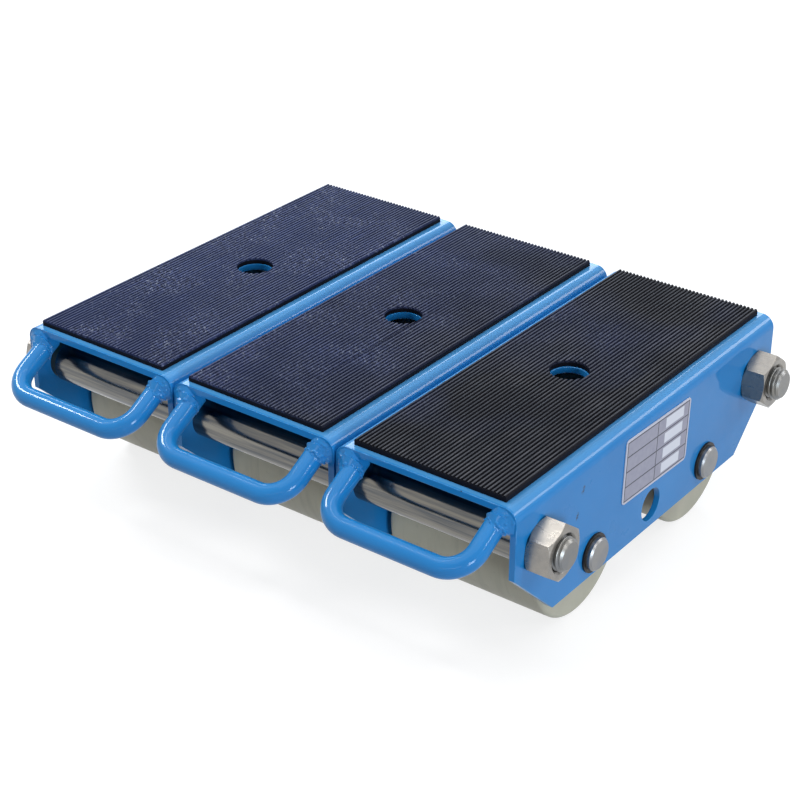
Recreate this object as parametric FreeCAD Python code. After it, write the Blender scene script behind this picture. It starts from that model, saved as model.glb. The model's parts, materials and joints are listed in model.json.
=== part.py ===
import FreeCAD, Part
import math
import os

# Machine skate: roller modules side by side on two tie rods.
# X runs along the tie rods, the handles face -Y, +Z is up and the floor is Z = 0.

MODULES = ("left", "middle", "right")
ENDS = {"front": -1, "rear": 1}

# Folded channel
plate = 4.0
channel_width = 118.5
fold_radius = 4.0
skirt_height = 80.5
corner_cut_height = 37.5
corner_cut_length = 39.0
end_overhang = 79.3
module_gap = 1.5

# Rollers and their axles
roller_diameter = 85.0
roller_edge_radius = 2.5
axle_spacing = 126.0
axle_drop = 65.5
axle_diameter = 20.0
axle_proud = 4.6
axle_chamfer = 1.1
distance_ring = 4.5
distance_ring_wall = 3.0

# Ball bearings
bearing_section = 13.5
bearing_width = 14.0
ball_diameter = 7.9
ball_count = 8
race_shoulder = 2.6
shield_thickness = 0.6
bore_shoulder = 4.5

# Retaining rings
ring_thickness = 1.2
ring_width = 2.4
ring_groove_depth = 0.5
ring_gap_angle = 50.0
ring_gap_turn = 55.0
ring_lug_radius = 1.9
ring_lug_hole = 1.8

# Tie rods, sleeves, nuts and washers
rod_diameter = 20.0
rod_chamfer = 2.1
rod_ahead_of_axle = 56.0
rod_drop = 31.2
rod_proud_short = 3.8
rod_proud_long = 6.3
nut_across_flats = 30.0
nut_height = 15.0
nut_turn = 23.0
nut_countersink = 1.8
nut_inner_chamfer = 2.0
nut_outer_chamfer = 1.3
sleeve_wall = 2.9
washer_diameter = 37.0
packing_ring_length = 5.0
packing_ring_wall = 1.8

# Ribbed rubber pad
pad_side_margin = 9.6
left_pad_shift = 1.6
middle_pad_shift = 1.4
right_pad_shift = 0.2
pad_end_margin = 4.5
pad_base = 2.9
rib_height = 1.0
rib_pitch = 2.55
rib_foot = 1.9
rib_crest = 1.0

# Holes a user fastens to
top_hole_diameter = 22.0
cross_hole_diameter = 20.5
pad_hole_margin = 0.75

# Bent-bar handle
bar_diameter = 12.0
handle_reach = 34.0
handle_tilt = 29.3
handle_drop = 11.8
handle_bend_radius = 16.5
handle_side_gap = 2.7
handle_root_depth = 7.0
weld_radius = 7.8
weld_outward = 1.5
weld_rise = 1.0
weld_setback = 1.5
weld_length = 4.5
weld_toe = 2.0

# Blank rating plate
label_length = 72.5
label_height = 41.3
label_thickness = 0.6
label_corner_radius = 3.0
label_drop = 30.0
label_ahead = 1.8
label_turn = 2.0

# Clearances, each on a radius or on one face
axle_clearance = 0.05
rod_clearance = 0.5
nut_clearance = 0.05
ring_clearance = 0.05
ball_clearance = 0.03
running_gap = 0.3

# Worked out from the sizes above
inner_width = channel_width - 2 * plate
outer_fold = fold_radius + plate
module_pitch = channel_width + module_gap
channel_length = axle_spacing + 2 * end_overhang
deck_top = axle_drop + roller_diameter / 2
skirt_bottom = deck_top - skirt_height
pad_width = channel_width - 2 * pad_side_margin
pad_shift = {"left": left_pad_shift, "middle": middle_pad_shift, "right": right_pad_shift}
pad_length = channel_length - 2 * pad_end_margin
pad_top = deck_top + pad_base + rib_height
roller_radius = roller_diameter / 2
roller_width = inner_width - 2 * distance_ring
axle_radius = axle_diameter / 2
axle_bore = axle_radius + axle_clearance
axle_y = axle_spacing / 2
axle_z = deck_top - axle_drop
rod_radius = rod_diameter / 2
rod_bore = rod_radius + rod_clearance
rod_y = axle_y + rod_ahead_of_axle
rod_z = deck_top - rod_drop
half_width = (len(MODULES) - 1) * module_pitch / 2 + channel_width / 2
front_edge = -channel_length / 2
bar_radius = bar_diameter / 2
handle_half_span = inner_width / 2 - handle_side_gap - bar_radius
handle_z = deck_top - handle_drop
tilt = math.radians(handle_tilt)
handle_front = front_edge - handle_reach * math.cos(tilt) - bar_radius
# The origin lies on the floor under the middle of the whole outline, handles included.
centre_y = -(handle_front + channel_length / 2) / 2

X = FreeCAD.Vector(1, 0, 0)
Y = FreeCAD.Vector(0, 1, 0)
Z = FreeCAD.Vector(0, 0, 1)


def point(x, y, z):
    return FreeCAD.Vector(x, y, z)


def rod_along_x(radius, x_low, x_high, y, z):
    return Part.makeCylinder(radius, x_high - x_low, point(x_low, y, z), X)


def ring_along_x(outer, inner, x_low, x_high, y, z):
    return rod_along_x(outer, x_low, x_high, y, z).cut(rod_along_x(inner, x_low, x_high, y, z))


def turned_along_x(outline, y, z):
    """Solid of revolution from (x, radius) corners about the line along X at y, z."""
    corners = [point(x, y, z + radius) for x, radius in outline]
    face = Part.Face(Part.makePolygon(corners + corners[:1]))
    return face.revolve(point(0, y, z), X, 360)


def prism(corners, direction):
    """Straight prism from a flat outline of corners."""
    return Part.Face(Part.makePolygon(corners + corners[:1])).extrude(direction)


def line(start, end):
    return Part.LineSegment(start, end).toShape()


def arc(start, middle, end):
    return Part.Arc(start, middle, end).toShape()


def arched_outline(half, top, radius, bottom):
    """Closed arch in XZ: up the left side, round both folds, down the right side."""
    corner = radius * math.sin(math.pi / 4)
    shoulder = top - radius
    flat = half - radius

    def at(x, z):
        return point(x, 0, z)

    return [
        line(at(-half, bottom), at(-half, shoulder)),
        arc(at(-half, shoulder), at(-flat - corner, shoulder + corner), at(-flat, top)),
        line(at(-flat, top), at(flat, top)),
        arc(at(flat, top), at(flat + corner, shoulder + corner), at(half, shoulder)),
        line(at(half, shoulder), at(half, bottom)),
        line(at(half, bottom), at(-half, bottom)),
    ]


def arched_block(half, top, radius, bottom, y_low, y_high):
    """Solid block along Y with the arch as its section."""
    outline = Part.Wire(arched_outline(half, top, radius, bottom))
    block = Part.Face(outline).extrude(Y * (y_high - y_low))
    block.translate(Y * y_low)
    return block


def channel(x):
    """Folded inverted U with cut lower corners and all its holes."""
    end = channel_length / 2
    body = arched_block(channel_width / 2, deck_top, outer_fold, skirt_bottom, -end, end)
    body = body.cut(arched_block(inner_width / 2, deck_top - plate, fold_radius, skirt_bottom, -end, end))
    for side in ENDS.values():
        corner = [
            point(-channel_width, side * end, skirt_bottom + corner_cut_height),
            point(-channel_width, side * (end - corner_cut_length), skirt_bottom),
            point(-channel_width, side * end, skirt_bottom),
        ]
        body = body.cut(prism(corner, X * (2 * channel_width)))
        body = body.cut(rod_along_x(axle_bore, -channel_width, channel_width, side * axle_y, axle_z))
        body = body.cut(rod_along_x(rod_bore, -channel_width, channel_width, side * rod_y, rod_z))
    body = body.cut(rod_along_x(cross_hole_diameter / 2, -channel_width, channel_width, 0, axle_z))
    top_hole = Part.makeCylinder(top_hole_diameter / 2, 2 * plate, point(0, 0, deck_top - 1.5 * plate), Z)
    body = body.cut(top_hole)
    body.translate(X * x)
    return body


def handle(x):
    """Bent bar with both arms welded into the channel's front corners."""
    forward = point(0, -math.cos(tilt), -math.sin(tilt))
    upward = point(0, -math.sin(tilt), math.cos(tilt))
    root = point(0, front_edge, handle_z)
    half = handle_half_span
    bend = handle_bend_radius
    corner = bend * math.sin(math.pi / 4)

    def at(across, along):
        return root + X * across + forward * along

    straight = handle_reach - bend
    flat = half - bend
    path = Part.Wire([
        line(at(-half, -handle_root_depth), at(-half, straight)),
        arc(at(-half, straight), at(-flat - corner, straight + corner), at(-flat, handle_reach)),
        line(at(-flat, handle_reach), at(flat, handle_reach)),
        arc(at(flat, handle_reach), at(flat + corner, straight + corner), at(half, straight)),
        line(at(half, straight), at(half, -handle_root_depth)),
    ])
    section = Part.Wire(Part.makeCircle(bar_radius, at(-half, -handle_root_depth), forward))
    bar = path.makePipeShell([section], True, False)
    # Each weld is a collar round the arm, thickest just behind the front edge and set towards
    # the plate and the deck, so that it fills the corner and runs out on the bar's free side.
    toe = bar_radius - weld_toe
    heel = handle_root_depth - weld_toe
    for side in (-1, 1):
        shift = X * (side * weld_outward) + upward * weld_rise
        back = at(side * half, -heel) + shift
        thick = at(side * half, -weld_setback) + shift
        behind = Part.makeCone(toe, weld_radius, heel - weld_setback, back, forward)
        front = Part.makeCone(weld_radius, toe, weld_setback + weld_length, thick, forward)
        bar = bar.fuse(behind.fuse(front))
    # Nothing of the bar or its weld enters the plate: behind the front edge it stops at the
    # channel's inner faces, and ahead of it at the channel's own outline.
    inside = arched_block(inner_width / 2, deck_top - plate, fold_radius, 0, front_edge, 0)
    ahead = arched_block(channel_width / 2, deck_top, outer_fold, 0, handle_front - bar_diameter, front_edge)
    bar = bar.common(inside.fuse(ahead)).removeSplitter()
    bar.translate(X * x)
    return bar


def pad(x, shift):
    """Rubber sheet with flat-topped ribs along Y and a hole in the middle."""
    half = pad_width / 2
    valley = deck_top + pad_base
    count = int((pad_width - rib_foot) / rib_pitch) + 1
    start = front_edge + pad_end_margin
    outline = [(half, deck_top), (half, valley)]
    for index in range(count):
        middle = ((count - 1) / 2 - index) * rib_pitch
        outline += [(middle + rib_foot / 2, valley), (middle + rib_crest / 2, pad_top)]
        outline += [(middle - rib_crest / 2, pad_top), (middle - rib_foot / 2, valley)]
    outline += [(-half, valley), (-half, deck_top)]
    sheet = prism([point(across - shift, start, z) for across, z in outline], Y * pad_length)
    hole_radius = top_hole_diameter / 2 + pad_hole_margin
    sheet = sheet.cut(Part.makeCylinder(hole_radius, 2 * pad_top, point(0, 0, 0), Z))
    sheet.translate(X * x)
    return sheet


def bearing_radii():
    """Bore, ball circle and outside of the bearings, from the axle they fit."""
    outside = axle_bore + bearing_section
    return axle_bore, axle_bore + bearing_section / 2, outside


def roller(x, y):
    """Nylon roller with rounded edges, a bearing seat in each end and a stepped bore."""
    half = roller_width / 2
    outside = bearing_radii()[2]
    body = rod_along_x(roller_radius, x - half, x + half, y, axle_z)
    rims = [edge for edge in body.Edges if isinstance(edge.Curve, Part.Circle)]
    body = body.makeFillet(roller_edge_radius, rims)
    body = body.cut(rod_along_x(outside - bore_shoulder, x - half, x + half, y, axle_z))
    for side in (-1, 1):
        seat = sorted((x + side * half, x + side * (half - bearing_width)))
        body = body.cut(rod_along_x(outside, seat[0], seat[1], y, axle_z))
    return body


def bearing_places(x):
    """Low and high X of the two bearings in a roller."""
    half = roller_width / 2
    return [(x - half, x - half + bearing_width), (x + half - bearing_width, x + half)]


def outer_rings(x, y):
    """Outer bearing rings, each with its ball groove."""
    ball_circle, outside = bearing_radii()[1:]
    groove = ball_diameter / 2 + ball_clearance
    rings = []
    for low, high in bearing_places(x):
        ring = ring_along_x(outside, ball_circle + race_shoulder, low, high, y, axle_z)
        rings.append(ring.cut(Part.makeTorus(ball_circle, groove, point((low + high) / 2, y, axle_z), X)))
    return rings


def inner_rings(x, y):
    """Inner bearing rings, each with its ball groove."""
    bore, ball_circle = bearing_radii()[:2]
    groove = ball_diameter / 2 + running_gap
    rings = []
    for low, high in bearing_places(x):
        ring = ring_along_x(ball_circle - race_shoulder, bore, low, high, y, axle_z)
        rings.append(ring.cut(Part.makeTorus(ball_circle, groove, point((low + high) / 2, y, axle_z), X)))
    return rings


def balls(x, y):
    """Evenly spaced balls of the two bearings in a roller."""
    ball_circle = bearing_radii()[1]
    found = []
    for low, high in bearing_places(x):
        for index in range(ball_count):
            angle = 2 * math.pi * index / ball_count
            across = y + ball_circle * math.cos(angle)
            up = axle_z + ball_circle * math.sin(angle)
            found.append(Part.makeSphere(ball_diameter / 2, point((low + high) / 2, across, up)))
    return found


def shields(x, y):
    """Thin side covers, held in the outer rings and clear of the inner ones."""
    ball_circle = bearing_radii()[1]
    outside = ball_circle + race_shoulder - ball_clearance
    inside = ball_circle - race_shoulder + running_gap
    covers = []
    for low, high in bearing_places(x):
        covers.append(ring_along_x(outside, inside, low, low + shield_thickness, y, axle_z))
        covers.append(ring_along_x(outside, inside, high - shield_thickness, high, y, axle_z))
    return covers


def axle(y):
    """Shaft through every module, chamfered, with a ring groove outside each outermost plate."""
    end = half_width + axle_proud
    face = half_width
    groove = axle_radius - ring_groove_depth
    groove_end = face + ring_thickness + 2 * ring_clearance
    half_outline = [
        (face, axle_radius),
        (face, groove),
        (groove_end, groove),
        (groove_end, axle_radius),
        (end - axle_chamfer, axle_radius),
        (end, axle_radius - axle_chamfer),
    ]
    left = [(-along, radius) for along, radius in reversed(half_outline)]
    return turned_along_x([(-end, 0)] + left + half_outline + [(end, 0)], y, axle_z)


def retaining_ring(x_face, side, y):
    """Open spring ring with two drilled lugs, seated in the axle's groove, its gap turned to the rear."""
    inside = axle_radius - ring_groove_depth + ring_clearance
    outside = inside + ring_width
    low = min(x_face + side * ring_clearance, x_face + side * (ring_clearance + ring_thickness))
    high = low + ring_thickness
    ring = ring_along_x(outside, inside, low, high, y, axle_z)
    half_gap = math.radians(ring_gap_angle / 2)
    far = 2 * outside
    wedge = [
        point(low, y, axle_z),
        point(low, y - far * math.sin(half_gap), axle_z - far * math.cos(half_gap)),
        point(low, y + far * math.sin(half_gap), axle_z - far * math.cos(half_gap)),
    ]
    ring = ring.cut(prism(wedge, X * ring_thickness))
    middle = inside + ring_lug_radius
    spread = half_gap + ring_lug_radius / middle
    for turn in (-1, 1):
        lug_y = y + turn * middle * math.sin(spread)
        lug_z = axle_z - middle * math.cos(spread)
        ring = ring.fuse(rod_along_x(ring_lug_radius, low, high, lug_y, lug_z))
        ring = ring.cut(rod_along_x(ring_lug_hole / 2, low, high, lug_y, lug_z))
    ring = ring.cut(rod_along_x(inside, low, high, y, axle_z))
    ring = ring.removeSplitter()
    ring.rotate(point(0, y, axle_z), X, ring_gap_turn)
    return ring


def tie_rod(y, proud_left, proud_right):
    """Stud through every module, chamfered at both ends."""
    low = -half_width - nut_height - proud_left
    high = half_width + nut_height + proud_right
    outline = [
        (low, 0),
        (low, rod_radius - rod_chamfer),
        (low + rod_chamfer, rod_radius),
        (high - rod_chamfer, rod_radius),
        (high, rod_radius - rod_chamfer),
        (high, 0),
    ]
    return turned_along_x(outline, y, rod_z)


def nut(x_face, side, y):
    """Hexagon nut with its corners turned down on both sides, against a side plate."""
    reach = nut_across_flats / 2 / math.cos(math.pi / 6)
    flat = nut_across_flats / 2
    low = min(x_face, x_face + side * nut_height)
    high = low + nut_height
    corners = []
    for index in range(6):
        angle = math.radians(nut_turn + 60 * index)
        corners.append(point(low, y + reach * math.cos(angle), rod_z + reach * math.sin(angle)))
    body = prism(corners, X * nut_height)
    outer_face = x_face + side * nut_height
    turned = [
        (x_face, 0),
        (x_face, flat),
        (x_face + side * nut_inner_chamfer, reach),
        (outer_face - side * nut_outer_chamfer, reach),
        (outer_face, flat),
        (outer_face, 0),
    ]
    body = body.common(turned_along_x(turned, y, rod_z))
    bore = rod_radius + nut_clearance
    mouth = bore + nut_countersink
    hollow = [
        (low, 0),
        (low, mouth),
        (low + nut_countersink, bore),
        (high - nut_countersink, bore),
        (high, mouth),
        (high, 0),
    ]
    return body.cut(turned_along_x(hollow, y, rod_z))


def rating_plate():
    """Thin blank plate with round corners, stuck a little askew on the right side plate."""
    low_y = label_ahead - label_length / 2
    low_z = deck_top - label_drop - label_height / 2
    blank = Part.makeBox(label_thickness, label_length, label_height, point(half_width, low_y, low_z))
    upright = [edge for edge in blank.Edges if abs(edge.tangentAt(edge.FirstParameter).x) > 0.5]
    blank = blank.makeFillet(label_corner_radius, upright)
    blank.rotate(point(half_width, label_ahead, deck_top - label_drop), X, -label_turn)
    return blank


def save(name, solids):
    """Writes one node, as a single solid or as a group of separate ones."""
    shape = solids[0] if len(solids) == 1 else Part.Compound(solids)
    shape.translate(Y * centre_y)
    shape.exportStep("parts/" + name + ".step")
    state = "valid" if shape.isValid() else "NOT VALID"
    print(name, len(shape.Solids), "solids", round(shape.Volume), "mm3", state)


os.makedirs("parts", exist_ok=True)

retaining_rings = []
distance_rings = []
spacer_tubes = []
module_washers = []
packing_rings = []

for number, module in enumerate(MODULES):
    middle = (number - (len(MODULES) - 1) / 2) * module_pitch
    inner = inner_width / 2
    face = channel_width / 2
    save(module + "_channel", [channel(middle)])
    save(module + "_handle", [handle(middle)])
    save(module + "_pad", [pad(middle, pad_shift[module])])
    packing = packing_ring_length if number == 0 else 0
    sleeves = []
    for end, side in ENDS.items():
        name = module + "_" + end
        y = side * axle_y
        save(name + "_roller", [roller(middle, y)])
        save(name + "_outer_rings", outer_rings(middle, y))
        save(name + "_inner_rings", inner_rings(middle, y))
        save(name + "_balls", balls(middle, y))
        save(name + "_shields", shields(middle, y))
        collar = axle_bore + distance_ring_wall
        half = roller_width / 2
        spacer_tubes.append(ring_along_x(collar, axle_bore, middle - half + bearing_width,
                                         middle + half - bearing_width, y, axle_z))
        for turn in (-1, 1):
            low = min(middle + turn * half, middle + turn * inner)
            distance_rings.append(ring_along_x(collar, axle_bore, low, low + distance_ring, y, axle_z))
        rod_place = side * rod_y
        sleeves.append(ring_along_x(rod_bore + sleeve_wall, rod_bore, middle - inner + packing,
                                    middle + inner, rod_place, rod_z))
        if packing:
            packing_rings.append(ring_along_x(rod_bore + packing_ring_wall, rod_bore, middle - inner,
                                              middle - inner + packing, rod_place, rod_z))
        if number:
            module_washers.append(ring_along_x(washer_diameter / 2, rod_bore, middle - face - module_gap,
                                               middle - face, rod_place, rod_z))
    save(module + "_sleeves", sleeves)

for end, side in ENDS.items():
    save(end + "_axle", [axle(side * axle_y)])
    retaining_rings += [retaining_ring(turn * half_width, turn, side * axle_y) for turn in (-1, 1)]
save("retaining_rings", retaining_rings)
save("distance_rings", distance_rings)
save("bearing_spacer_tubes", spacer_tubes)
save("module_washers", module_washers)
save("packing_rings", packing_rings)
save("front_tie_rod", [tie_rod(-rod_y, rod_proud_long, rod_proud_short)])
save("rear_tie_rod", [tie_rod(rod_y, rod_proud_short, rod_proud_long)])
nuts = [nut(turn * half_width, turn, side * rod_y) for side in ENDS.values() for turn in (-1, 1)]
save("tie_nuts", nuts)
save("rating_plate", [rating_plate()])
print("roller centre line Y", centre_y - axle_y, centre_y + axle_y, "Z", axle_z, "pad top", pad_top)
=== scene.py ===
# %% [markdown]
# # Dressing a machine skate
# A machine skate is a low trolley that riggers push under a heavy machine. This one is three steel
# channels side by side on two tie rods, each with two nylon rollers, a ribbed rubber pad and a pull
# handle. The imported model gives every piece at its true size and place. It is loaded first and never
# moved: the lesson adds finishes, and replaces pieces only where the real ones have softer edges or
# finer forms.

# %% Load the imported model
import json
import math

import bmesh
import bpy
from mathutils import Matrix, Vector, noise


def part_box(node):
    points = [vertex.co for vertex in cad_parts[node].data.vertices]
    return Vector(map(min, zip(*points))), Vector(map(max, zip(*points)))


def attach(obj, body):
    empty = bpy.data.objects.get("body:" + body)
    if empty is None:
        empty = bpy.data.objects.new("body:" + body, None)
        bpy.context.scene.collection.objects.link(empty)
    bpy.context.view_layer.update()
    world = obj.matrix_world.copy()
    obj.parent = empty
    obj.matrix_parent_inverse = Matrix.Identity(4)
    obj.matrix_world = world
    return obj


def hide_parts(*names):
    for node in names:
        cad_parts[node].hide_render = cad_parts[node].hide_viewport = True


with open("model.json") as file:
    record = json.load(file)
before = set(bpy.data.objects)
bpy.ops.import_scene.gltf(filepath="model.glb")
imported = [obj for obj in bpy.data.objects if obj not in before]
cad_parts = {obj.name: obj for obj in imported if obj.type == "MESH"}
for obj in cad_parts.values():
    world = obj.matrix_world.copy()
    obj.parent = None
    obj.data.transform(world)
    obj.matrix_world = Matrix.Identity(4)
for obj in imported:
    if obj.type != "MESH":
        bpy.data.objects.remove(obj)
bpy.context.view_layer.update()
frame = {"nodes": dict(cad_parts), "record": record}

MM = 0.001

# %% [markdown]
# ## The camera
# The photograph looks down on the right front corner with a long lens, so the edges run nearly
# parallel. A camera can be placed by eye, but here its place, angles and focal length were worked out
# from known corners of the plates. The camera turns about Z for the azimuth, tips down for the
# elevation, and rolls a little.

# %% Camera at the photograph's viewpoint
PHOTO_WIDTH = 800
FOCAL_PIXELS = 1870.4
SENSOR_WIDTH = 36.0
view_azimuth = math.radians(36.976)
view_elevation = math.radians(28.586)
view_roll = math.radians(0.052)
view_place = Vector((617.9, -806.3, 613.8)) * MM

turn = (Matrix.Rotation(view_azimuth, 4, "Z")
        @ Matrix.Rotation(math.pi / 2 - view_elevation, 4, "X")
        @ Matrix.Rotation(view_roll, 4, "Z"))
camera = bpy.data.objects.new("camera", bpy.data.cameras.new("camera"))
bpy.context.scene.collection.objects.link(camera)
camera.data.sensor_width = SENSOR_WIDTH
camera.data.lens = SENSOR_WIDTH * FOCAL_PIXELS / PHOTO_WIDTH
camera.matrix_world = Matrix.Translation(view_place) @ turn
bpy.context.scene.camera = camera
bpy.context.scene.view_settings.view_transform = "Standard"
print("lens in mm:", round(camera.data.lens, 2))
print("camera at", [round(v, 3) for v in camera.matrix_world.translation])

# %% [markdown]
# ## Small helpers for node materials
# Materials are built from nodes. Typing every link by hand hides what a finish is made of, so a helper
# adds a node and fills or links its inputs in one line. The others name the steps a painter would take:
# stretch a pattern, get a cloudy pattern, turn it into a mask, mix two colours by it, raise or lower
# the surface. All patterns read Object coordinates in metres, so a scale of 100 gives features of about
# a centimetre.


# %% Helpers: nodes and new finishes
def add(tree, kind, inputs=None, **settings):
    """Adds a node, links or fills its inputs by name or number, and returns it."""
    made = tree.nodes.new(kind)
    for name, value in settings.items():
        setattr(made, name, value)
    for name, value in (inputs or {}).items():
        if isinstance(value, bpy.types.NodeSocket):
            tree.links.new(value, made.inputs[name])
        else:
            made.inputs[name].default_value = value
    return made


def new_finish(name):
    """A material with its shader and the Object coordinates that its patterns read."""
    material = bpy.data.materials.new(name)
    material.use_nodes = True
    tree = material.node_tree
    place = add(tree, "ShaderNodeTexCoord").outputs["Object"]
    return material, tree, tree.nodes["Principled BSDF"], place


def colour(red, green, blue):
    return (red, green, blue, 1.0)


print("helpers for nodes:", add.__name__, new_finish.__name__, colour.__name__)


# %% Helpers: patterns and sums
def stretched(tree, place, scale):
    return add(tree, "ShaderNodeMapping", {"Vector": place, "Scale": scale}).outputs["Vector"]


def cloud(tree, place, scale, detail=2.0, roughness=0.5):
    inputs = {"Vector": place, "Scale": scale, "Detail": detail, "Roughness": roughness}
    return add(tree, "ShaderNodeTexNoise", inputs).outputs["Fac"]


def axis_of(tree, place, letter):
    return add(tree, "ShaderNodeSeparateXYZ", {0: place}).outputs[letter]


def sums(tree, operation, first, second=0.0):
    return add(tree, "ShaderNodeMath", {0: first, 1: second}, operation=operation).outputs["Value"]


def times(tree, *values):
    total = values[0]
    for value in values[1:]:
        total = sums(tree, "MULTIPLY", total, value)
    return total


print("helpers for patterns:", stretched.__name__, cloud.__name__, axis_of.__name__)


# %% Helpers: masks
def mask(tree, value, low, high, to_low=0.0, to_high=1.0):
    """Turns the span from low to high into a span of its own, level outside it."""
    inputs = {"Value": value, "From Min": low, "From Max": high, "To Min": to_low, "To Max": to_high}
    return add(tree, "ShaderNodeMapRange", inputs).outputs["Result"]


def band(tree, value, low, high, soft):
    """1 where a value lies between low and high, with soft sides."""
    rise = mask(tree, value, low - soft, low + soft)
    return times(tree, rise, mask(tree, value, high + soft, high - soft))


def near(tree, place, spot, reach):
    """1 up to 0.3 of the reach from a spot, falling to 0 at the reach; spot and reach in metres."""
    away = add(tree, "ShaderNodeVectorMath", {0: place, 1: spot}, operation="DISTANCE").outputs["Value"]
    return mask(tree, away, reach, 0.3 * reach)


print("helpers for masks:", mask.__name__, band.__name__, near.__name__)


# %% Helpers: mixes and bumps
def mixed(tree, amount, first, second):
    """Goes from the first colour to the second by an amount."""
    made = add(tree, "ShaderNodeMix", data_type="RGBA")
    for name, value in {"Factor": amount, "A": first, "B": second}.items():
        socket = [s for s in made.inputs if s.name == name and s.enabled][0]
        if isinstance(value, bpy.types.NodeSocket):
            tree.links.new(value, socket)
        else:
            socket.default_value = value
    return [s for s in made.outputs if s.enabled][0]


def raised(tree, height, depth, normal=None):
    """Bump by a height pattern; depth is in metres."""
    inputs = {"Height": height, "Distance": depth, "Strength": 1.0}
    if normal:
        inputs["Normal"] = normal
    return add(tree, "ShaderNodeBump", inputs).outputs["Normal"]


print("helpers for colour and bumps:", mixed.__name__, raised.__name__)

# %% [markdown]
# ## Blue gloss enamel
# The channels and handles are sprayed in one coat of blue enamel. Up close it has orange peel, a fine
# waviness that breaks up highlights, a faint cloudiness in tone, and chips where the dark primer shows.
# The flat of the deck is painted a paler blue, a painted sheen for the light the tops catch, but not the
# walls of its holes. The rounded edges are painted a lighter blue in patches, partly rubbed paint and
# partly a painted highlight. All this could be painted on an image over an unwrapped mesh. Patterns that
# read the place on the piece need neither, and stay sharp at any distance. A clear coat on the shader
# gives the sharp highlight over the softer paint underneath.

# %% Blue enamel: painted sheen on the deck
DECK_SHEEN_STARTS = 4.5 * MM
DECK_SHEEN_LEVELS = 0.8 * MM
DECK_SHEEN_MOST = 0.26
DECK_SHEEN_FREE_END = 1.2 * MM
DECK_SHEEN_FREE_HOLE = 40.0 * MM
deck_low, deck_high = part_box("middle_channel")
mounts = frame["record"]["mounts"]
top_holes = [Vector(mount["pos_m"]) for mount in mounts if "top_hole" in mount["name"]]


def deck_painted_sheen(tree, place):
    """How much painted sheen lies at a place: most on the flat of the deck, none on its ends and in its
    holes.
    """
    height, length = axis_of(tree, place, "Z"), axis_of(tree, place, "Y")
    flat = mask(tree, height, deck_high.z - DECK_SHEEN_STARTS, deck_high.z - DECK_SHEEN_LEVELS, 0.0, DECK_SHEEN_MOST)
    first, last = deck_low.y + DECK_SHEEN_FREE_END, deck_high.y - DECK_SHEEN_FREE_END
    sheen_share = times(tree, flat, band(tree, length, first, last, DECK_SHEEN_FREE_END / 2))
    for hole in top_holes:
        clear = sums(tree, "SUBTRACT", 1.0, near(tree, place, hole, DECK_SHEEN_FREE_HOLE))
        sheen_share = times(tree, sheen_share, clear)
    return sheen_share


print("deck height in mm:", round(deck_high.z / MM, 1), "holes kept clean:", len(top_holes))

# %% Blue enamel: chips
KNOCKED_FACE = 179.2
KNOCKS = ((-59.9, 89.1, 1.9), (-58.9, 91.2, 1.7), (-64.8, 74.6, 1.7), (-64.1, 76.6, 1.7))


def paint_chips(tree, place, edge):
    """1 where the paint is gone: flakes along edges, scattered nicks and knocks on the right side."""
    flakes = times(tree, mask(tree, cloud(tree, place, 210.0, 5.0, 0.65), 0.66, 0.68), edge)
    spots = add(tree, "ShaderNodeTexVoronoi", {"Vector": place, "Scale": 42.0})
    chosen = mask(tree, axis_of(tree, spots.outputs["Color"], "X"), 0.93, 0.94)
    nicks = times(tree, mask(tree, spots.outputs["Distance"], 0.026, 0.014), chosen)
    bare = sums(tree, "MAXIMUM", flakes, nicks)
    ragged = mask(tree, cloud(tree, place, 900.0, 3.0), 0.40, 0.55)
    for y, z, reach in KNOCKS:
        knock = near(tree, place, Vector((KNOCKED_FACE, y, z)) * MM, reach * MM)
        bare = sums(tree, "MAXIMUM", bare, times(tree, knock, ragged))
    return bare


print("knocks on the right side, as Y, Z and reach in mm:", KNOCKS)


# %% Blue enamel: the finish
def blue_enamel():
    material, tree, shader, place = new_finish("blue_enamel")
    tone = mask(tree, cloud(tree, place, 14.0, 3.0), 0.3, 0.7)
    paint = mixed(tree, tone, colour(0.011, 0.180, 0.470), colour(0.016, 0.211, 0.530))
    # Painted sheen: the flat of the deck is painted a paler blue, for the light that the tops catch.
    pale = mixed(tree, deck_painted_sheen(tree, place), paint, colour(0.20, 0.44, 0.66))
    edge = add(tree, "ShaderNodeAttribute", attribute_name="worn_and_highlit_edge").outputs["Fac"]
    # Partly wear, partly painted highlight: the rounded edges are painted a lighter blue in patches.
    rubbed = times(tree, mask(tree, cloud(tree, place, 120.0, 4.0), 0.45, 0.65, 0.0, 0.40), edge)
    rim = mixed(tree, rubbed, pale, colour(0.16, 0.42, 0.76))
    grime = mask(tree, cloud(tree, place, 95.0, 6.0, 0.7), 0.58, 0.80, 0.0, 0.04)
    dulled = mixed(tree, grime, rim, colour(0.35, 0.42, 0.50))
    bare = paint_chips(tree, place, edge)
    primer = colour(0.020, 0.035, 0.060)
    tree.links.new(mixed(tree, bare, dulled, primer), shader.inputs["Base Color"])
    gloss = mask(tree, cloud(tree, place, 60.0, 4.0), 0.3, 0.7, 0.26, 0.40)
    tree.links.new(gloss, shader.inputs["Roughness"])
    peel = raised(tree, cloud(tree, place, 340.0, 1.0), 0.012 * MM)
    tree.links.new(raised(tree, bare, -0.12 * MM, peel), shader.inputs["Normal"])
    shader.inputs["Specular IOR Level"].default_value = 0.04
    shader.inputs["Coat Weight"].default_value = 0.40
    shader.inputs["Coat Roughness"].default_value = 0.04
    return material


finishes = {"blue_paint": blue_enamel()}
print("finish made:", finishes["blue_paint"].name)
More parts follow.
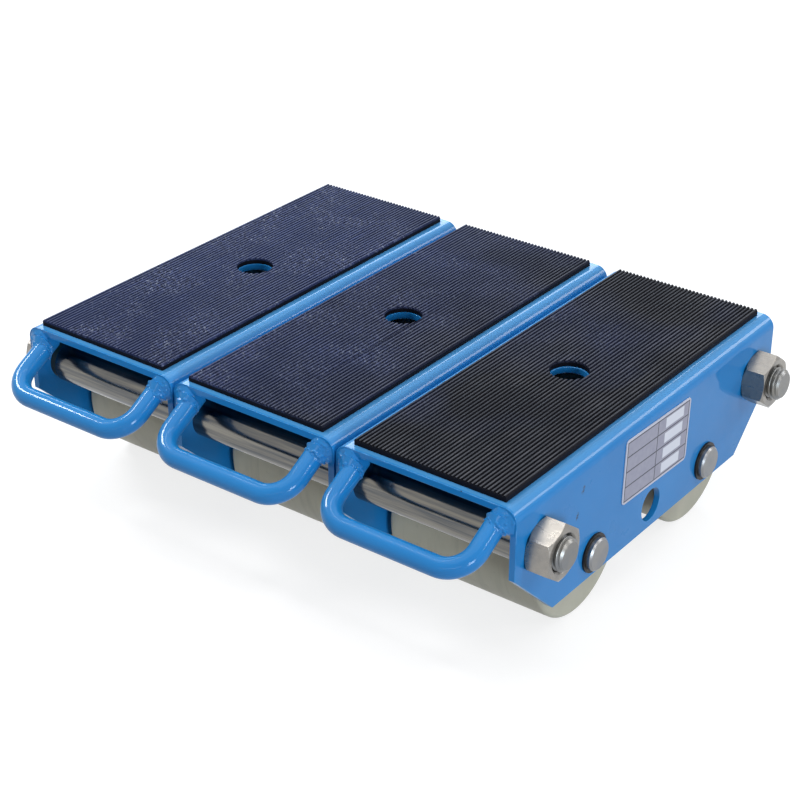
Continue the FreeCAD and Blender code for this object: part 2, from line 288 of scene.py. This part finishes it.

# %% [markdown]
# ## Ribbed rubber
# The load rests on black rubber matting with fine ribs. Rubber is nearly black, but it is rarely clean:
# the rib tops are rubbed grey in streaks along the ribs, and dust lies in pale patches. The ribs are
# already in the mesh, so only their wear and a painted sheen are left to the finish. The streaks come
# from a cloudy pattern stretched along Y, and a mask on height keeps the rubbed grey on the rib tops.
# On the upper faces, most of all on the left, a painted sheen lies as a blue-grey, speckled haze with
# painted glints over ribs and grooves alike, in patches, and the rubbed grey turns bluer there: it
# stands in for the reflection of the cool window behind on the left.


# %% Ribbed rubber: painted sheen
def painted_sheen(tree, place, amount, under):
    """Lays a painted sheen over a colour, in patches: a mottled blue-grey haze with painted glints."""
    sheen_amount = times(tree, mask(tree, cloud(tree, place, 30.0, 5.0, 0.6), 0.44, 0.62, 0.06, 0.75), amount)
    mottle = mask(tree, cloud(tree, place, 520.0, 3.0, 0.65), 0.42, 0.60)
    haze = mixed(tree, mottle, colour(0.009, 0.011, 0.028), colour(0.068, 0.085, 0.185))
    hazy = mixed(tree, sheen_amount, under, haze)
    painted_glints = times(tree, mask(tree, cloud(tree, place, 460.0, 4.0, 0.7), 0.585, 0.65), sheen_amount)
    return mixed(tree, painted_glints, hazy, colour(0.30, 0.33, 0.42))


print("helper for the haze:", painted_sheen.__name__)

# %% Ribbed rubber: the finish
RIB_HEIGHT = 1.0 * MM
# Where the rubber's painted sheen fades out and where it is full, along X in metres, and how far its edge
# strays.
RUBBER_SHEEN_ENDS, RUBBER_SHEEN_FULL, RUBBER_SHEEN_STRAYS = 0.11, -0.12, 0.07
pad_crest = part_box("middle_pad")[1].z


def rubber(crest_z, valley_z):
    material, tree, shader, place = new_finish("ribbed_rubber")
    height = axis_of(tree, place, "Z")
    upper = mask(tree, height, valley_z - 0.5 * MM, valley_z - 0.05 * MM)
    crest = mask(tree, height, valley_z + 0.80 * (crest_z - valley_z), crest_z - 0.05 * MM)
    # cool is the share of painted sheen, on the upper faces and most of all on the left; base and grey
    # are painted bluer by it.
    strayed = mask(tree, cloud(tree, place, 9.0), 0.3, 0.7, -RUBBER_SHEEN_STRAYS, RUBBER_SHEEN_STRAYS)
    left = mask(tree, sums(tree, "ADD", axis_of(tree, place, "X"), strayed), RUBBER_SHEEN_ENDS, RUBBER_SHEEN_FULL)
    cool = times(tree, left, upper)
    base = mixed(tree, cool, colour(0.0040, 0.0040, 0.0070), colour(0.0150, 0.0220, 0.0640))
    streaks = cloud(tree, stretched(tree, place, (900.0, 30.0, 40.0)), 1.0, 4.0, 0.6)
    patches = mask(tree, cloud(tree, place, 22.0, 4.0), 0.35, 0.65, 0.25, 1.0)
    rubbed = times(tree, mask(tree, streaks, 0.38, 0.75), patches, crest)
    grey = mixed(tree, cool, colour(0.096, 0.096, 0.106), colour(0.088, 0.112, 0.240))
    worn = mixed(tree, rubbed, base, grey)
    dust = times(tree, mask(tree, cloud(tree, place, 1100.0, 3.0, 0.6), 0.60, 0.72, 0.0, 0.45), crest)
    dusty = mixed(tree, dust, worn, colour(0.11, 0.12, 0.16))
    # The painted sheen and painted glints are laid over the worn and dusty rubber.
    tree.links.new(painted_sheen(tree, place, cool, dusty), shader.inputs["Base Color"])
    tree.links.new(mask(tree, streaks, 0.3, 0.7, 0.42, 0.62), shader.inputs["Roughness"])
    shader.inputs["Specular IOR Level"].default_value = 0.07
    grain = raised(tree, cloud(tree, place, 1800.0, 3.0), 0.08 * MM)
    tree.links.new(raised(tree, streaks, 0.12 * MM, grain), shader.inputs["Normal"])
    return material


finishes["rubber"] = rubber(pad_crest, pad_crest - RIB_HEIGHT)
print("finish made:", finishes["rubber"].name, "rib tops at", round(pad_crest / MM, 1), "mm")

# %% [markdown]
# ## Nylon rollers
# The rollers are turned from cast nylon: ivory, waxy, with fine rings left by the lathe tool round the
# tread and grey scuffs from the floor. Rings could be cut into the mesh, but they are finer than a
# tenth of a millimetre, so a bump is enough. A pattern that reads almost only the place along the axle
# makes rings by itself. A little light enters the nylon and comes out again, which softens its shading.


# %% Nylon: the finish
def nylon():
    material, tree, shader, place = new_finish("cast_nylon")
    blotch = mask(tree, cloud(tree, place, 24.0, 4.0), 0.3, 0.7)
    tone = mixed(tree, blotch, colour(0.418, 0.392, 0.308), colour(0.515, 0.484, 0.382))
    banded = cloud(tree, stretched(tree, place, (1.0, 0.12, 0.12)), 130.0, 4.0, 0.65)
    bands = mask(tree, banded, 0.52, 0.75, 0.0, 0.35)
    scuffs = mask(tree, cloud(tree, place, 160.0, 6.0, 0.7), 0.58, 0.72, 0.0, 0.35)
    soiled = mixed(tree, sums(tree, "MAXIMUM", bands, scuffs), tone, colour(0.25, 0.235, 0.19))
    tree.links.new(soiled, shader.inputs["Base Color"])
    rings = cloud(tree, stretched(tree, place, (1.0, 0.02, 0.02)), 900.0, 3.0, 0.6)
    tree.links.new(mask(tree, rings, 0.3, 0.7, 0.36, 0.52), shader.inputs["Roughness"])
    tree.links.new(raised(tree, rings, 0.06 * MM), shader.inputs["Normal"])
    shader.inputs["Specular IOR Level"].default_value = 0.25
    shader.inputs["Subsurface Weight"].default_value = 0.12
    shader.inputs["Subsurface Radius"].default_value = (0.004, 0.003, 0.002)
    shader.inputs["Subsurface Scale"].default_value = 1.0
    return material


finishes["nylon"] = nylon()
print("finish made:", finishes["nylon"].name)

# %% [markdown]
# ## Plated and bare steel
# Nuts, tie rods and sleeves are zinc plated: bright, a little blue in places and straw-coloured in
# others. The axle ends are turned and plated. All are metals, so their colour is the colour of their
# reflections, and the detail lies in roughness: fine drawn lines along the bar, and stains. One function
# makes them all, because they differ only in tint, polish, stains and lines. A turned end shows rings
# round its own centre, so its lines read the distance from the axis.

# %% Metals: one function for all
DRAWN_ALONG_X = (60.0, 2600.0, 2600.0)
LATHE_RINGS = 2200.0


def lathe_lines(tree, place, axis_y, axis_z):
    """Coordinates that change only with the distance from an axis along X."""
    flat = add(tree, "ShaderNodeVectorMath", {0: place, 1: (0.0, 1.0, 1.0)}, operation="MULTIPLY")
    ends = {0: flat.outputs[0], 1: (0.0, axis_y, axis_z)}
    radius = add(tree, "ShaderNodeVectorMath", ends, operation="DISTANCE").outputs["Value"]
    return add(tree, "ShaderNodeCombineXYZ", {0: times(tree, radius, LATHE_RINGS)}).outputs[0]


def plated(name, cool, warm, rough_low, rough_high, lathe_axis=None, line_depth=0.04 * MM, streak=1.0):
    material, tree, shader, place = new_finish(name)
    drawn_out = stretched(tree, place, (1.0 / streak, streak, streak))
    stain = mask(tree, cloud(tree, drawn_out, 70.0, 4.0, 0.6), 0.35, 0.65)
    tree.links.new(mixed(tree, stain, cool, warm), shader.inputs["Base Color"])
    lined = lathe_lines(tree, place, *lathe_axis) if lathe_axis else stretched(tree, place, DRAWN_ALONG_X)
    lines = cloud(tree, lined, 1.0, 4.0, 0.6)
    blotch = cloud(tree, place, 240.0, 5.0, 0.65)
    both = sums(tree, "ADD", times(tree, lines, 0.6), times(tree, blotch, 0.4))
    tree.links.new(mask(tree, both, 0.35, 0.65, rough_low, rough_high), shader.inputs["Roughness"])
    tree.links.new(raised(tree, lines, line_depth), shader.inputs["Normal"])
    shader.inputs["Metallic"].default_value = 1.0
    return material


print("helpers for metals:", lathe_lines.__name__, plated.__name__)

# %% Metals: the finishes
finishes["zinc_plate"] = plated("zinc_plate", colour(0.175, 0.183, 0.193), colour(0.215, 0.208, 0.193),
                                0.28, 0.44, line_depth=0.015 * MM)
finishes["yellow_zinc"] = plated("yellow_zinc", colour(0.10, 0.085, 0.060), colour(0.15, 0.12, 0.08),
                                 0.30, 0.46)
finishes["bearing_steel"] = plated("bearing_steel", colour(0.27, 0.28, 0.30), colour(0.33, 0.32, 0.31),
                                   0.14, 0.26)
finishes["black_steel"] = plated("black_steel", colour(0.020, 0.020, 0.024), colour(0.040, 0.036, 0.032),
                                 0.30, 0.50)
sleeve_zinc = plated("sleeve_zinc", colour(0.085, 0.092, 0.102), colour(0.205, 0.196, 0.175),
                     0.10, 0.22, line_depth=0.006 * MM, streak=5.0)
nut_zinc = plated("nut_zinc", colour(0.205, 0.200, 0.195), colour(0.30, 0.282, 0.255), 0.24, 0.38)
print("finishes so far:", sorted(finishes), "and", sleeve_zinc.name, nut_zinc.name)

# %% [markdown]
# ## Blank rating plate
# The plate on the right side is a ruled table with a pale rim, a thin dark outline and four rows, each
# with an empty white field. It could be an image, but a table is only straight strips, so it is drawn
# with masks: a band between two values is one strip, and two bands multiplied are a box. The plate sits
# a little askew, so its coordinates are turned back first.

# %% Rating plate: rows and fields
LABEL_LENGTH = 72.5 * MM
LABEL_HEIGHT = 41.3 * MM
LABEL_ASKEW = math.radians(2.0)
LABEL_RIM = 1.5 * MM
LABEL_STROKE = 0.75 * MM
LABEL_SOFT = 0.12 * MM
LABEL_DIVIDER = -1.3 * MM
LABEL_ROWS = 4
FIELD_LEFT = 6.4 * MM
FIELD_STEP = 0.5 * MM
FIELD_LENGTH = 20.5 * MM
FIELD_FOOT = 1.7 * MM
FIELD_HEAD = 1.5 * MM
table_length = LABEL_LENGTH - 2 * LABEL_RIM
table_height = LABEL_HEIGHT - 2 * LABEL_RIM
row_height = table_height / LABEL_ROWS


def box_mask(tree, along, up, left, right, low, high):
    """1 inside an upright box on the plate."""
    return times(tree, band(tree, along, left, right, LABEL_SOFT), band(tree, up, low, high, LABEL_SOFT))


def row_foot(index):
    return index * row_height - table_height / 2


print("table in mm:", round(table_length / MM, 1), "by", round(table_height / MM, 1), "rows:", LABEL_ROWS)


# %% Rating plate: ink and fields
def ruled_ink(tree, along, up, inside):
    """The outline, the upright divider and the rules between the rows."""
    side, top = table_length / 2 - LABEL_STROKE, table_height / 2 - LABEL_STROKE
    ink = sums(tree, "SUBTRACT", inside, box_mask(tree, along, up, -side, side, -top, top))
    divider = band(tree, along, LABEL_DIVIDER, LABEL_DIVIDER + LABEL_STROKE, LABEL_SOFT)
    ink = sums(tree, "MAXIMUM", ink, times(tree, inside, divider))
    for index in range(1, LABEL_ROWS):
        low = row_foot(index) - LABEL_STROKE / 2
        rule = times(tree, inside, band(tree, up, low, low + LABEL_STROKE, LABEL_SOFT))
        ink = sums(tree, "MAXIMUM", ink, rule)
    return ink


def white_fields(tree, along, up):
    """One field in each row; they step a little to the right from row to row."""
    white = 0.0
    for index in range(LABEL_ROWS):
        left = FIELD_LEFT + index * FIELD_STEP
        low, high = row_foot(index) + FIELD_FOOT, row_foot(index + 1) - FIELD_HEAD
        field = box_mask(tree, along, up, left, left + FIELD_LENGTH, low, high)
        white = sums(tree, "MAXIMUM", white, field)
    return white


print("field length in mm:", round(FIELD_LENGTH / MM, 1), "stroke:", round(LABEL_STROKE / MM, 2))

# %% Rating plate: the finish
label_low, label_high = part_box("rating_plate")
label_middle = (label_low + label_high) / 2


def ruled_plate():
    material, tree, shader, place = new_finish("ruled_plate")
    inputs = {"Vector": place, "Center": label_middle, "Axis": (1.0, 0.0, 0.0), "Angle": LABEL_ASKEW}
    level = add(tree, "ShaderNodeVectorRotate", inputs).outputs["Vector"]
    local = add(tree, "ShaderNodeVectorMath", {0: level, 1: label_middle}, operation="SUBTRACT")
    along, up = axis_of(tree, local.outputs[0], "Y"), axis_of(tree, local.outputs[0], "Z")
    side, top = table_length / 2, table_height / 2
    inside = box_mask(tree, along, up, -side, side, -top, top)
    mottled = cloud(tree, place, 300.0, 4.0)
    ground = mixed(tree, mottled, colour(0.255, 0.250, 0.320), colour(0.340, 0.330, 0.400))
    rimmed = mixed(tree, inside, colour(0.50, 0.50, 0.58), ground)
    fielded = mixed(tree, white_fields(tree, along, up), rimmed, colour(0.66, 0.66, 0.72))
    wear = mask(tree, cloud(tree, place, 700.0, 4.0), 0.25, 0.50, 0.80, 1.0)
    worn_ink = times(tree, ruled_ink(tree, along, up, inside), wear)
    inked = mixed(tree, worn_ink, fielded, colour(0.030, 0.028, 0.045))
    tree.links.new(inked, shader.inputs["Base Color"])
    gloss = mask(tree, cloud(tree, place, 180.0, 4.0), 0.3, 0.7, 0.34, 0.52)
    tree.links.new(gloss, shader.inputs["Roughness"])
    shader.inputs["Specular IOR Level"].default_value = 0.30
    tree.links.new(raised(tree, cloud(tree, place, 120.0, 3.0), 0.12 * MM), shader.inputs["Normal"])
    return material


finishes["label_plate"] = ruled_plate()
print("finish made:", finishes["label_plate"].name)

# %% [markdown]
# ## Every piece gets its finish
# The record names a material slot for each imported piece. Most pieces take the finish of their slot.
# Sleeves and nuts are zinc too, but drawn brighter or duller than the rods, so they have their own.
# Each axle has a finish of its own, because the rings on its ends need to know where its axis is.


# %% Give every node its finish
def middle_of(node_name):
    low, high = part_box(node_name)
    return (low + high) / 2


slot_of = {entry["node"]: entry["material_slot"] for entry in frame["record"]["subparts"]}
for node_name, thing in frame["nodes"].items():
    slot = slot_of[node_name]
    if slot == "axle_steel":
        axis = middle_of(node_name)
        finish = plated(node_name + "_steel", colour(0.205, 0.216, 0.235), colour(0.25, 0.248, 0.245),
                        0.26, 0.42, (axis.y, axis.z))
    elif node_name.endswith("_sleeves"):
        finish = sleeve_zinc
    elif node_name == "tie_nuts":
        finish = nut_zinc
    else:
        finish = finishes[slot]
    thing.data.materials.clear()
    thing.data.materials.append(finish)
print("finishes:", sorted(finishes), "nodes with a slot:", len(slot_of))

# %% [markdown]
# ## Softer edges
# No sheared plate or moulded pad has a perfectly sharp edge, and it is the small round that catches the
# light. A imported mesh is made of separate patches, and a Bevel modifier can't round the line where two
# of them only touch. So each copy is prepared first: the patches are merged, flat areas are joined into
# single faces, and only the sharp edges are bevelled. The new faces are marked, so that the paint can
# wear there first and carry a painted highlight.


# %% Helper: put a piece in the scene
def place_piece(name, shape, slot, finish=None, weighted=False):
    """Turns a bmesh into an object with a finish, smooth shading and a slot, which rides on the frame."""
    mesh = bpy.data.meshes.new(name)
    for face in shape.faces:
        face.smooth = True
    shape.to_mesh(mesh)
    shape.free()
    mesh.materials.append(finish or finishes[slot])
    thing = bpy.data.objects.new(name, mesh)
    bpy.context.scene.collection.objects.link(thing)
    if weighted:
        thing.modifiers.new("even_shading", "WEIGHTED_NORMAL").keep_sharp = True
    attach(thing, "frame")
    return thing


print("helper for pieces:", place_piece.__name__)

# %% Helper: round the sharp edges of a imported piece
MERGED_WITHIN = 0.002 * MM
FLAT_WITHIN = math.radians(0.5)
SMOOTH_UNDER = math.radians(20)


def softened(node_name, radius, segments=2, sharp_over=30.0):
    """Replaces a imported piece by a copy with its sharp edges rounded."""
    shape = bmesh.new()
    shape.from_mesh(frame["nodes"][node_name].data)
    bmesh.ops.remove_doubles(shape, verts=shape.verts, dist=MERGED_WITHIN)
    bmesh.ops.dissolve_limit(shape, angle_limit=FLAT_WITHIN, verts=shape.verts, edges=shape.edges)
    worn = shape.faces.layers.float.new("worn_and_highlit_edge")
    joined = [edge for edge in shape.edges if len(edge.link_faces) == 2]
    for edge in joined:
        edge.smooth = edge.calc_face_angle() < SMOOTH_UNDER
    sharp = [edge for edge in joined if edge.calc_face_angle() > math.radians(sharp_over)]
    made = bmesh.ops.bevel(shape, geom=sharp, offset=radius, offset_type="OFFSET", affect="EDGES",
                           segments=segments, profile=0.5, material=-1, clamp_overlap=True)
    for face in made["faces"]:
        face[worn] = 1.0
        for edge in face.edges:
            edge.smooth = True
    print(node_name, "edges rounded:", len(sharp), "faces:", len(shape.faces))
    finish = frame["nodes"][node_name].data.materials[0]
    thing = place_piece(node_name + "_soft", shape, slot_of[node_name], finish=finish, weighted=True)
    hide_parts(node_name)


print("helper for soft edges:", softened.__name__)

# %% Round the channels, pads, nuts, rings and plate
MODULES = ("left", "middle", "right")
for module in MODULES:
    softened(module + "_channel", 0.7 * MM, segments=3)
    softened(module + "_pad", 0.20 * MM)
softened("tie_nuts", 0.30 * MM, sharp_over=38.0)
softened("retaining_rings", 0.15 * MM)
softened("rating_plate", 0.12 * MM)

# %% [markdown]
# ## Threaded tie rods
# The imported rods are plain. The real ends carry a coarse thread, which shows as rings past the nuts.
# Closed rings would look almost alike, but a thread is a zigzag profile that turns and climbs, and the
# spin operator does both, with a small step along the axis for each turn of a few degrees. The ends are
# then cut flat, tapered and closed, and a plain shaft joins them inside the channels.

# %% Thread: wind the profile
THREAD_PITCH = 2.5 * MM
THREAD_DEPTH = 1.45 * MM
THREAD_STEPS = 44
PROFILE_POINTS = 14
ROOT_SHARE = 0.08
FLANK_SHARE = 0.74


def wind_thread(shape, inner_x, outer_x, radius, y, z):
    """Winds a thread round an axis along X, longer at both ends than the span it is for."""
    turns = int(abs(outer_x - inner_x) / THREAD_PITCH) + 3
    start = min(inner_x, outer_x) - THREAD_PITCH
    chain = []
    for index in range(PROFILE_POINTS + 1):
        share = index / PROFILE_POINTS
        height = min(1.0, max(0.0, (1 - abs(2 * share - 1) - ROOT_SHARE) / FLANK_SHARE))
        up = z + radius - THREAD_DEPTH * (1 - height)
        chain.append(shape.verts.new((start + share * THREAD_PITCH, y, up)))
    edges = [shape.edges.new(pair) for pair in zip(chain, chain[1:])]
    bmesh.ops.spin(shape, geom=chain + edges, cent=(0, y, z), axis=(1, 0, 0), angle=2 * math.pi * turns,
                   dvec=(THREAD_PITCH / THREAD_STEPS, 0, 0), steps=THREAD_STEPS * turns)
    bmesh.ops.remove_doubles(shape, verts=shape.verts, dist=0.005 * MM)


print("thread pitch in mm:", THREAD_PITCH / MM, "depth:", THREAD_DEPTH / MM)

# %% Thread: cut, taper and close the ends
TAPER = 2.1 * MM
ON_PLANE = 1e-6


def trim_thread(shape, inner_x, outer_x, radius, y, z):
    """Cuts a thread to its span, tapers it towards outer_x and closes both ends."""
    side = 1 if outer_x > inner_x else -1
    for cut, outward in ((outer_x - side * TAPER, 0), (outer_x, side), (inner_x, -side)):
        everything = shape.verts[:] + shape.edges[:] + shape.faces[:]
        bmesh.ops.bisect_plane(shape, geom=everything, dist=1e-7, plane_co=(cut, y, z),
                               plane_no=(outward or 1, 0, 0), clear_outer=bool(outward))
    for vert in shape.verts:
        room = radius - max(0.0, TAPER - abs(outer_x - vert.co.x))
        arm = Vector((0, vert.co.y - y, vert.co.z - z))
        if arm.length > room:
            vert.co -= arm * (1 - room / arm.length)
    for end_x in (outer_x, inner_x):
        open_rim = [edge for edge in shape.edges if edge.is_boundary
                    and all(abs(vert.co.x - end_x) < ON_PLANE for vert in edge.verts)]
        for edge in open_rim:
            edge.smooth = False
        bmesh.ops.holes_fill(shape, edges=open_rim, sides=0)
    bmesh.ops.recalc_face_normals(shape, faces=shape.faces)
    open_edges = sum(edge.is_boundary for edge in shape.edges)
    print("thread end at", round(outer_x / MM, 1), "open edges:", open_edges)


print("taper in mm:", round(TAPER / MM, 1))

# %% Thread and shaft of both tie rods
ENDS = ("front", "rear")
THREAD_INTO_PLATE = 1.0 * MM
SHAFT_INTO_PLATE = 0.8 * MM
SHAFT_UNDER_CREST = 0.02 * MM
plate_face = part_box("right_channel")[1].x
for end in ENDS:
    node_name = end + "_tie_rod"
    low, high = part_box(node_name)
    axis = (low + high) / 2
    radius = (high.z - low.z) / 2
    whole = bmesh.new()
    for outer_x in (low.x, high.x):
        part = bmesh.new()
        inner_x = math.copysign(plate_face - THREAD_INTO_PLATE, outer_x)
        wind_thread(part, inner_x, outer_x, radius, axis.y, axis.z)
        trim_thread(part, inner_x, outer_x, radius, axis.y, axis.z)
        scratch = bpy.data.meshes.new("scratch")
        part.to_mesh(scratch)
        part.free()
        whole.from_mesh(scratch)
        bpy.data.meshes.remove(scratch)
    lay_down = Matrix.Translation((0, axis.y, axis.z)) @ Matrix.Rotation(math.pi / 2, 4, "Y")
    core = radius - SHAFT_UNDER_CREST
    bmesh.ops.create_cone(whole, cap_ends=True, segments=64, radius1=core, radius2=core,
                          depth=2 * (plate_face - SHAFT_INTO_PLATE), matrix=lay_down)
    print(node_name, "faces:", len(whole.faces))
    rod = place_piece(node_name + "_threaded", whole, "zinc_plate", weighted=True)
    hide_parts(node_name)

# %% [markdown]
# ## Weld collars at the handles
# Each handle arm is welded into the corner under the deck. The weld is a collar: wide at the plate,
# where it fills the corner out to the fold, and running down to the bar. A torus would be too even, so
# a flat grid is wrapped round the bar: one direction of the grid goes round the arm, the other from the
# plate to the bar. Noise then pushes its points out, which leaves the bead and spatter of the torch
# under the paint.

# %% Weld collars: the corner and the reach
CORNER_ANGLE = math.radians(35)
CORNER_FOCUS = 1.5
REACH_STEP = 0.02
RIM_LEAST = 6.6
RIM_GAIN = 8.6
SIDE_ROOM, TOP_ROOM, FOLD_ROUND = 12.3, 11.3, 7.6


def corner_share(angle):
    """1 towards the corner of plate and deck, 0 on the free side; 0 degrees is outwards, 90 up."""
    return max(0.0, math.cos(angle - CORNER_ANGLE)) ** CORNER_FOCUS


def rim_reach(angle):
    """How far the collar spreads over the plate's edge at an angle, in mm, inside the rounded corner."""
    across, up = math.cos(angle), math.sin(angle)
    reach = RIM_LEAST + RIM_GAIN * corner_share(angle)
    while reach * across > SIDE_ROOM or reach * up > TOP_ROOM or math.hypot(
            max(0.0, reach * across - SIDE_ROOM + FOLD_ROUND),
            max(0.0, reach * up - TOP_ROOM + FOLD_ROUND)) > FOLD_ROUND:
        reach -= REACH_STEP
    return reach


print("rim reach in mm, outwards and up:", round(rim_reach(0.0), 1), round(rim_reach(math.pi / 2), 1))

# %% Weld collars: wrap one collar
TILT = math.radians(29.3)
BAR_RADIUS = 6.0
BAR_SUNK = 0.1
RIM_BEHIND = 0.6
TOE_LEAST, TOE_GAIN = 2.6, 2.6
FLARE = 1.4
BEAD_AT, BEAD_SPREAD, BEAD_FILL = 0.74, 0.15, 0.15
BEAD_HEIGHT, BEAD_GRAIN = 1.7, 430.0
LUMP_HEIGHT, LUMP_GRAIN = 0.40, 170.0
SPATTER_HEIGHT, SPATTER_GRAIN, SPATTER_FROM = 1.4, 640.0, 0.12
MARKS_LEAN = 0.6
GRID_ROUND, GRID_DOWN = 144, 28
forward = Vector((0, -math.cos(TILT), -math.sin(TILT)))
upward = Vector((0, -math.sin(TILT), math.cos(TILT)))


def torch_marks(spot, share):
    """Height of the bead, lumps and spatter at a spot, in mm; lumps and spatter fade at both rims."""
    fade = math.sin(math.pi * share) ** 0.5
    crest = math.exp(-((share - BEAD_AT) / BEAD_SPREAD) ** 2)
    bead = BEAD_HEIGHT * crest * max(0.0, noise.noise(spot * BEAD_GRAIN) + BEAD_FILL)
    lumps = LUMP_HEIGHT * noise.noise(spot * LUMP_GRAIN) * fade
    spatter = SPATTER_HEIGHT * max(0.0, noise.noise(spot * SPATTER_GRAIN) - SPATTER_FROM) * fade
    return bead + lumps + spatter


def weld_collar(shape, root, side):
    """Wraps a grid round an arm: u goes round it, v from the plate's edge down to the bar."""
    made = bmesh.ops.create_grid(shape, x_segments=GRID_ROUND, y_segments=GRID_DOWN, size=0.5)
    outward = Vector((side, 0, 0))
    inner_radius = BAR_RADIUS - BAR_SUNK
    for vert in made["verts"]:
        angle = 2 * math.pi * (vert.co.x + 0.5)
        share = vert.co.y + 0.5
        rim = (outward * math.cos(angle) + Vector((0, 0, 1)) * math.sin(angle)) * rim_reach(angle)
        across, up, ahead = rim.dot(outward), rim.dot(upward), rim.dot(forward) - RIM_BEHIND
        toe = TOE_LEAST + TOE_GAIN * corner_share(angle)
        along = ahead + (toe - ahead) * share
        radius = inner_radius + (math.hypot(across, up) - inner_radius) * (1 - share) ** FLARE
        outwards = (outward * across + upward * up).normalized()
        spot = root + (outwards * radius + forward * along) * MM
        vert.co = spot + (outwards + forward * MARKS_LEAN) * torch_marks(spot, share) * MM
    bmesh.ops.remove_doubles(shape, verts=made["verts"], dist=0.003 * MM)


print("bar radius in mm:", BAR_RADIUS, "tilt in degrees:", round(math.degrees(TILT), 1))

# %% Weld collars of all handles
ARM_OFFSET = 46.55 * MM
ARM_DROP = 11.8 * MM
for module in MODULES:
    middle_x = middle_of(module + "_channel").x
    whole = bmesh.new()
    for side in (-1, 1):
        root = Vector((middle_x + side * ARM_OFFSET, deck_low.y, deck_high.z - ARM_DROP))
        weld_collar(whole, root, side)
    open_rims = [edge for edge in whole.edges if edge.is_boundary]
    bmesh.ops.holes_fill(whole, edges=open_rims, sides=0)
    bmesh.ops.recalc_face_normals(whole, faces=whole.faces)
    print(module, "weld faces:", len(whole.faces))
    place_piece(module + "_handle_weld", whole, "blue_paint")

# %% [markdown]
# ## Floor and background
# The skate stands on a plain white floor. White could come from strong lamps, but those would bleach
# the paint. So the floor and the world glow only for rays that come from the camera or a mirror-like
# surface, and scatter little light themselves. The floor glows less near the skate, where it takes the
# shadow, and more far away, so that no edge shows against the background.


# %% Floor
def seen_directly(tree):
    """1 for what the camera sees itself, mirrored or through glass, 0 for light that scatters."""
    path = add(tree, "ShaderNodeLightPath")
    kinds = [path.outputs[name] for name in ("Is Camera Ray", "Is Glossy Ray", "Is Transmission Ray")]
    return sums(tree, "MAXIMUM", kinds[0], sums(tree, "MAXIMUM", kinds[1], kinds[2]))


FLOOR_HALF = 6.0
GLOW_NEAR, GLOW_FAR = 0.77, 0.98
GLOW_STARTS, GLOW_ENDS = 0.6, 2.0
floor_shape = bmesh.new()
bmesh.ops.create_grid(floor_shape, x_segments=1, y_segments=1, size=FLOOR_HALF)
floor_mesh = bpy.data.meshes.new("floor")
floor_shape.to_mesh(floor_mesh)
floor_shape.free()
floor = bpy.data.objects.new("floor", floor_mesh)
bpy.context.scene.collection.objects.link(floor)
floor_material, tree, shader, place = new_finish("studio_floor")
shader.inputs["Base Color"].default_value = colour(0.28, 0.28, 0.28)
shader.inputs["Roughness"].default_value = 0.8
shader.inputs["Emission Color"].default_value = colour(1, 1, 1)
away = add(tree, "ShaderNodeVectorMath", {0: place}, operation="LENGTH").outputs["Value"]
glow = mask(tree, away, GLOW_STARTS, GLOW_ENDS, GLOW_NEAR, GLOW_FAR)
tree.links.new(times(tree, seen_directly(tree), glow), shader.inputs["Emission Strength"])
floor_mesh.materials.append(floor_material)
print("floor side in m:", 2 * FLOOR_HALF, "glow:", GLOW_NEAR, "to", GLOW_FAR)

# %% World
WORLD_SCATTER = 0.17
world = bpy.data.worlds.new("studio")
bpy.context.scene.world = world
world.use_nodes = True
backdrop = world.node_tree.nodes["Background"]
backdrop.inputs["Color"].default_value = colour(1, 1, 1)
white = mask(world.node_tree, seen_directly(world.node_tree), 0.0, 1.0, WORLD_SCATTER, 1.0)
world.node_tree.links.new(white, backdrop.inputs["Strength"])
print("the world scatters", WORLD_SCATTER, "of its white")

# %% [markdown]
# ## Studio light
# A large lamp overhead lights the tops and a strip beside it draws soft lines along the bars. Small
# lamps at both sides give the crisp highlights, low lamps in front light the inside of the channels, a
# strip behind follows the folds, and a cool window behind on the left lies as a sheen on the rubber.
# Area lamps are used for all, because their size sets how soft a highlight is.


# %% Lamps
def softbox(name, place, aim_at, width, height, power, tint=(1.0, 1.0, 1.0)):
    """An oblong area lamp that looks at a point."""
    lamp = bpy.data.lights.new(name, "AREA")
    lamp.shape = "RECTANGLE"
    lamp.size, lamp.size_y = width, height
    lamp.energy = power
    lamp.color = tint
    lamp_object = bpy.data.objects.new(name, lamp)
    lamp_object.location = place
    lamp_object.rotation_euler = (Vector(aim_at) - Vector(place)).to_track_quat("-Z", "Y").to_euler()
    bpy.context.scene.collection.objects.link(lamp_object)
    print(name, "at", place, "power", power)


softbox("top_softbox", (-0.10, 0.10, 1.8), (0, 0, 0.1), 2.2, 2.2, 15.0)
softbox("ceiling_strip", (0.0, 0.0, 1.75), (0, 0, 0.1), 2.4, 0.12, 7.0)
softbox("left_softbox", (-1.43, -0.38, 1.28), (0, 0, 0.1), 0.34, 0.48, 18.0)
softbox("right_softbox", (1.56, 0.06, 1.12), (0, 0, 0.06), 0.16, 0.22, 3.2)
softbox("low_fill", (1.62, -0.92, 0.45), (0, 0, 0.06), 0.6, 0.5, 18.0, (0.74, 0.87, 1.0))
softbox("front_strip", (0.50, -2.00, 0.75), (0, -0.1, 0.08), 1.6, 0.12, 2.2, (0.92, 0.96, 1.0))
softbox("window", (-1.35, 1.75, 1.20), (0, 0, 0.1), 1.6, 0.7, 29.0, (0.68, 0.82, 1.0))
softbox("back_strip", (0.95, 1.30, 0.85), (0, 0, 0.1), 0.9, 0.30, 6.0)
